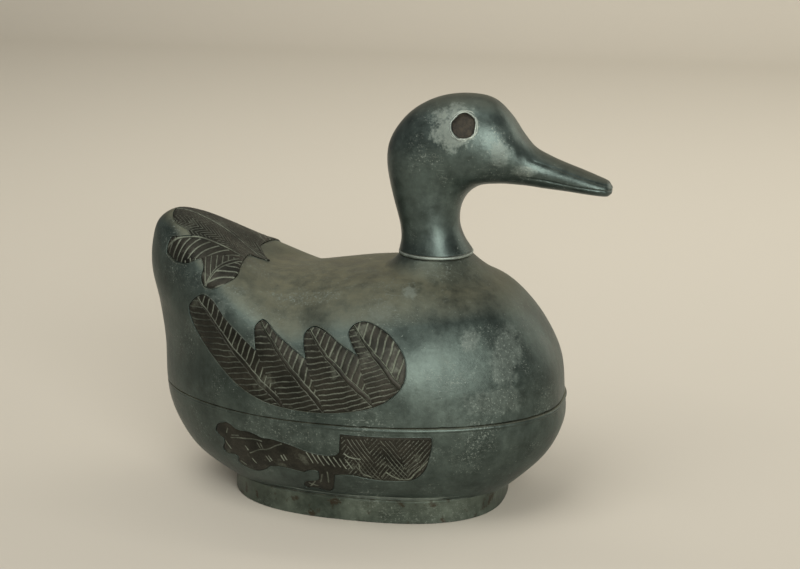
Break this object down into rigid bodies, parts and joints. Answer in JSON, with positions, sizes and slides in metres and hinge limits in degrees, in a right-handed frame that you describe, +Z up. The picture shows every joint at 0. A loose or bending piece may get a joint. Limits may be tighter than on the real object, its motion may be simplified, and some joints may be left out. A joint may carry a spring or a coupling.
{
  "type": "duck shaped lidded box",
  "caption": "Small metal box shaped as a sitting duck on an oval foot; the back, neck and head lift off as the lid; dark inlaid wings, tail and webbed feet.",
  "frame": {"origin": "centre of the plan's bounding box, on the plane that the foot ring stands on", "axes": "+X forward to the bill, +Y to the duck's left, +Z up"},
  "size_m": [0.1945, 0.1092, 0.171],
  "materials": {
    "pewter": "old pewter, dark blue-green grey patina, satin",
    "dark_brass": "brass darkened to brown, chased lines",
    "solder": "soft solder, paler than the pewter",
    "dark_eye": "dark reddish brown paste, matt"
  },
  "bodies": {
    "base": {"base_bowl": "pewter", "foot_ring": "pewter", "locating_flange": "pewter", "right_foot_inlay": "dark_brass", "left_foot_inlay": "dark_brass"},
    "lid": {"lid_shell": "pewter", "neck_band": "solder", "head": "pewter", "right_wing_inlay": "dark_brass", "left_wing_inlay": "dark_brass", "tail_inlay": "dark_brass", "right_eye": "dark_eye", "left_eye": "dark_eye"}
  },
  "joints": [
    {"name": "lid_lift", "type": "slide", "parent": "base", "child": "lid", "axis": [0, 0, 1], "range_m": [0, 0.08]}
  ]
}
